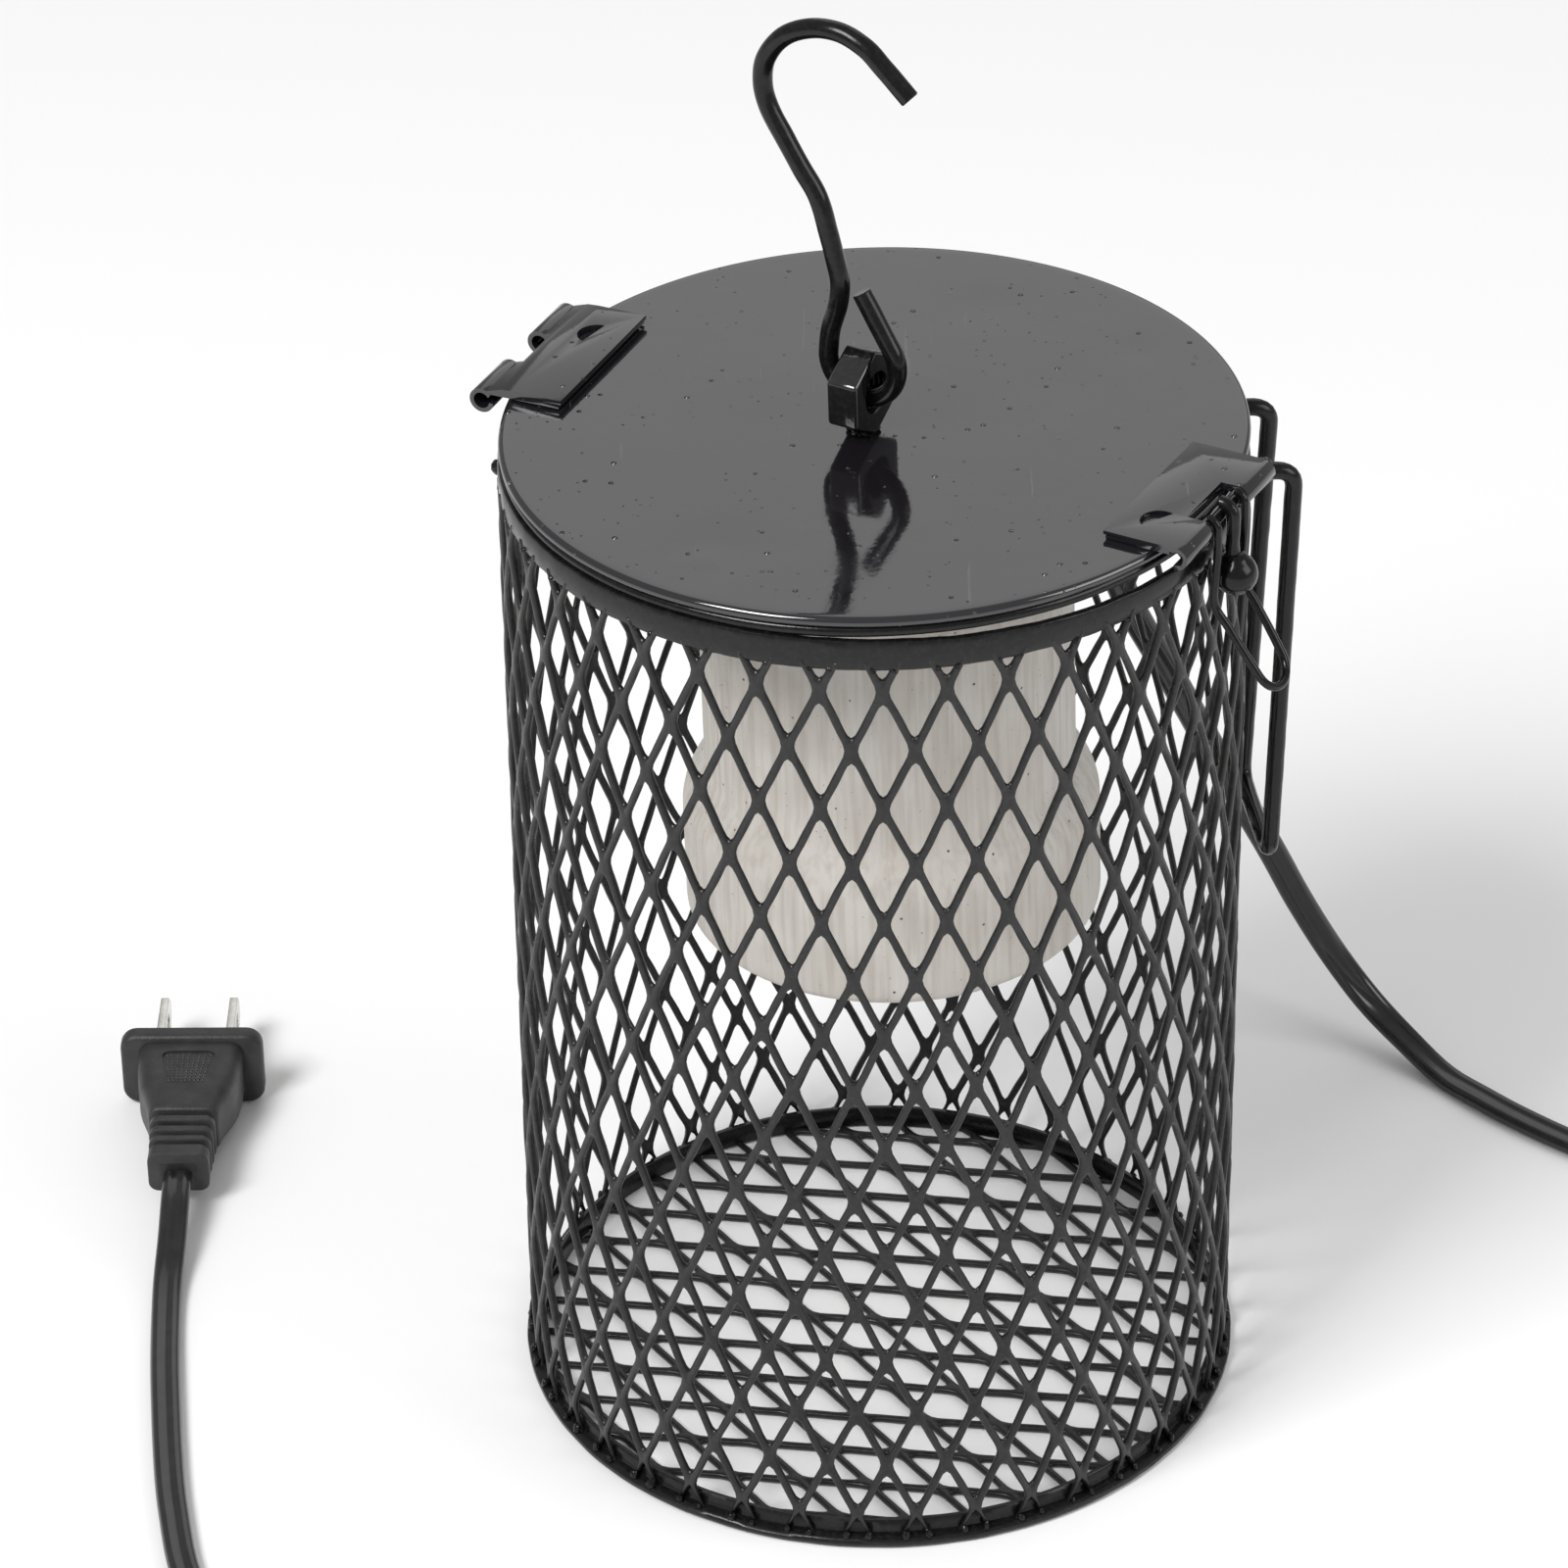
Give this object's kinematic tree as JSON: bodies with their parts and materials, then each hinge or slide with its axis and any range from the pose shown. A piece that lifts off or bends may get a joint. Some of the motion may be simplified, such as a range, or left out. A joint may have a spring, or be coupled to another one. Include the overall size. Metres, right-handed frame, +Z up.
{
  "type": "caged heat lamp fixture",
  "caption": "Hanging heat lamp fixture: porcelain lamp holder under a hooked, latched lift-off lid on a cylindrical expanded metal guard cage, with flat mains cord and plug",
  "frame": {"origin": "centre of the cage's base, on the plane that it stands on", "axes": "+Z up along the cage's axis; the latch faces +X and a little -Y, the hooked bracket faces -X"},
  "size_m": [0.3417, 0.1928, 0.2534],
  "materials": {
    "cage_enamel": "satin black enamel",
    "wire_enamel": "gloss black enamel",
    "lid_enamel": "gloss black enamel with dust pits",
    "porcelain": "unglazed, fine ribs and dark specks",
    "brass": "rolled",
    "zinc_steel": "zinc plated",
    "nickel": "nickel plated, drawn",
    "cord_pvc": "gloss black PVC, two conductors side by side",
    "plug_pvc": "fine pebbled black PVC",
    "tie_vinyl": "matt"
  },
  "bodies": {
    "cage": {"wall_mesh": "cage_enamel", "bottom_mesh": "cage_enamel", "bottom_ring": "cage_enamel", "top_band": "cage_enamel", "side_hanger": "wire_enamel", "cord": "cord_pvc", "cord_coil": "cord_pvc", "coil_tie": "tie_vinyl", "cord_to_plug": "cord_pvc", "plug_body": "plug_pvc", "plug_relief": "plug_pvc", "plug_blade_left": "nickel", "plug_blade_right": "nickel"},
    "lid": {"lid_disc": "lid_enamel", "lid_bead": "lid_enamel", "hook_bracket": "lid_enamel", "latch_bracket": "lid_enamel", "latch_pin": "wire_enamel", "hanger_nut": "lid_enamel", "socket_strap": "zinc_steel", "socket_screw_left": "zinc_steel", "socket_screw_right": "zinc_steel", "socket_nut_left": "zinc_steel", "socket_nut_right": "zinc_steel", "porcelain_holder": "porcelain", "screw_shell": "brass", "centre_contact": "brass", "terminal_rear": "brass", "terminal_front": "brass", "lead": "cord_pvc"},
    "ball_arm": {"ball_stem": "wire_enamel", "ball_knob": "wire_enamel"},
    "wire_clip": {"clip_loop": "wire_enamel"},
    "s_hook": {"s_hook": "wire_enamel"}
  },
  "joints": [
    {"name": "lid_lift", "type": "slide", "parent": "cage", "child": "lid", "axis": [0, 0, 1], "range_m": [0, 0.1]},
    {"name": "latch_swing", "type": "hinge", "parent": "lid", "child": "ball_arm", "pos_m": [0.05402, -0.03019, 0.1825], "axis": [-0.4878, -0.8729, -0.0015], "range_deg": [0, 75]},
    {"name": "clip_swing", "type": "hinge", "parent": "lid", "child": "wire_clip", "pos_m": [0.05402, -0.03019, 0.1825], "axis": [-0.4878, -0.8729, -0.0015], "range_deg": [0, 75]},
    {"name": "hook_swing", "type": "hinge", "parent": "lid", "child": "s_hook", "pos_m": [-0.00183, -0.00234, 0.18819], "axis": [0.8658, -0.4999, 0.0209], "range_deg": [-80, 80]}
  ]
}
